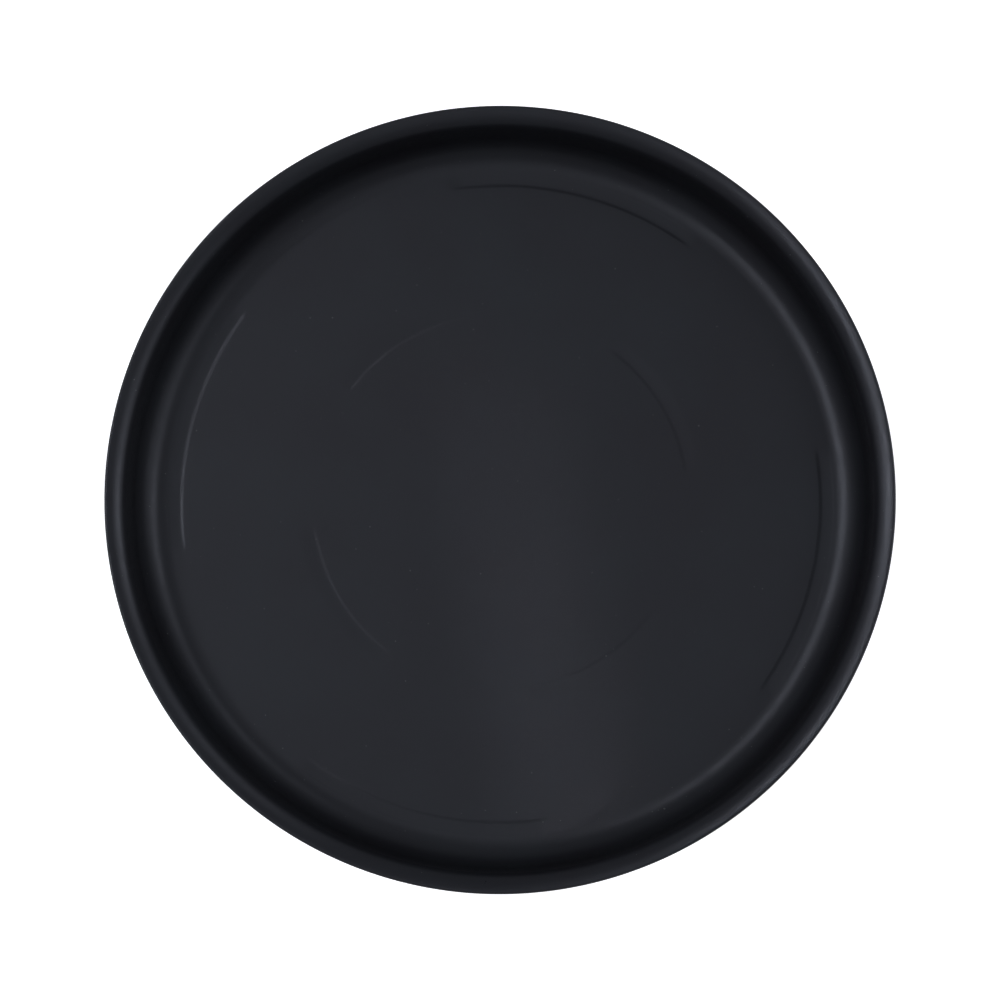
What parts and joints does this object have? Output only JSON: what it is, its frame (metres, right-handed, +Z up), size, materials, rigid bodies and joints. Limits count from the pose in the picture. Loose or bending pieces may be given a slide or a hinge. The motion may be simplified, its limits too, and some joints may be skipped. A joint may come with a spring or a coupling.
{
  "type": "plant pot caddy",
  "caption": "Round low plant pot caddy: a rimmed moulded plastic deck with a deep skirt, standing on hidden twin-wheel swivel casters.",
  "frame": {"origin": "on the ground under the centre of the deck", "axes": "+Z up through the deck's centre; -Y is the front, and the casters trail towards +Y at rest; +X is the caddy's right seen from the front"},
  "size_m": [0.4, 0.4, 0.102],
  "materials": {
    "deck": "satin moulded black plastic with a fine grain",
    "hood": "satin moulded black plastic",
    "wheel": "smooth black nylon, lightly scuffed on the tread",
    "steel": "bright zinc-plated steel"
  },
  "bodies": {
    "deck": {"deck": "deck", "rear_right_caster_stem": "steel", "rear_right_caster_grip_ring": "steel", "rear_left_caster_stem": "steel", "rear_left_caster_grip_ring": "steel", "front_left_caster_stem": "steel", "front_left_caster_grip_ring": "steel", "front_right_caster_stem": "steel", "front_right_caster_grip_ring": "steel"},
    "rear_right_caster": {"rear_right_caster_hood": "hood", "rear_right_caster_axle": "steel"},
    "rear_right_left_wheel": {"rear_right_caster_left_wheel": "wheel"},
    "rear_right_right_wheel": {"rear_right_caster_right_wheel": "wheel"},
    "rear_left_caster": {"rear_left_caster_hood": "hood", "rear_left_caster_axle": "steel"},
    "rear_left_left_wheel": {"rear_left_caster_left_wheel": "wheel"},
    "rear_left_right_wheel": {"rear_left_caster_right_wheel": "wheel"},
    "front_left_caster": {"front_left_caster_hood": "hood", "front_left_caster_axle": "steel"},
    "front_left_left_wheel": {"front_left_caster_left_wheel": "wheel"},
    "front_left_right_wheel": {"front_left_caster_right_wheel": "wheel"},
    "front_right_caster": {"front_right_caster_hood": "hood", "front_right_caster_axle": "steel"},
    "front_right_left_wheel": {"front_right_caster_left_wheel": "wheel"},
    "front_right_right_wheel": {"front_right_caster_right_wheel": "wheel"}
  },
  "joints": [
    {"name": "rear_right_swivel", "type": "hinge", "parent": "deck", "child": "rear_right_caster", "pos_m": [0.10253, 0.10253, 0.0425], "axis": [0, 0, 1], "continuous": true},
    {"name": "rear_right_left_wheel_spin", "type": "hinge", "parent": "rear_right_caster", "child": "rear_right_left_wheel", "pos_m": [0.11473, 0.11853, 0.019], "axis": [1, 0, 0], "continuous": true},
    {"name": "rear_right_right_wheel_spin", "type": "hinge", "parent": "rear_right_caster", "child": "rear_right_right_wheel", "pos_m": [0.09033, 0.11853, 0.019], "axis": [1, 0, 0], "continuous": true},
    {"name": "rear_left_swivel", "type": "hinge", "parent": "deck", "child": "rear_left_caster", "pos_m": [-0.10253, 0.10253, 0.0425], "axis": [0, 0, 1], "continuous": true},
    {"name": "rear_left_left_wheel_spin", "type": "hinge", "parent": "rear_left_caster", "child": "rear_left_left_wheel", "pos_m": [-0.09033, 0.11853, 0.019], "axis": [1, 0, 0], "continuous": true},
    {"name": "rear_left_right_wheel_spin", "type": "hinge", "parent": "rear_left_caster", "child": "rear_left_right_wheel", "pos_m": [-0.11473, 0.11853, 0.019], "axis": [1, 0, 0], "continuous": true},
    {"name": "front_left_swivel", "type": "hinge", "parent": "deck", "child": "front_left_caster", "pos_m": [-0.10253, -0.10253, 0.0425], "axis": [0, 0, 1], "continuous": true},
    {"name": "front_left_left_wheel_spin", "type": "hinge", "parent": "front_left_caster", "child": "front_left_left_wheel", "pos_m": [-0.09033, -0.08653, 0.019], "axis": [1, 0, 0], "continuous": true},
    {"name": "front_left_right_wheel_spin", "type": "hinge", "parent": "front_left_caster", "child": "front_left_right_wheel", "pos_m": [-0.11473, -0.08653, 0.019], "axis": [1, 0, 0], "continuous": true},
    {"name": "front_right_swivel", "type": "hinge", "parent": "deck", "child": "front_right_caster", "pos_m": [0.10253, -0.10253, 0.0425], "axis": [0, 0, 1], "continuous": true},
    {"name": "front_right_left_wheel_spin", "type": "hinge", "parent": "front_right_caster", "child": "front_right_left_wheel", "pos_m": [0.11473, -0.08653, 0.019], "axis": [1, 0, 0], "continuous": true},
    {"name": "front_right_right_wheel_spin", "type": "hinge", "parent": "front_right_caster", "child": "front_right_right_wheel", "pos_m": [0.09033, -0.08653, 0.019], "axis": [1, 0, 0], "continuous": true}
  ]
}
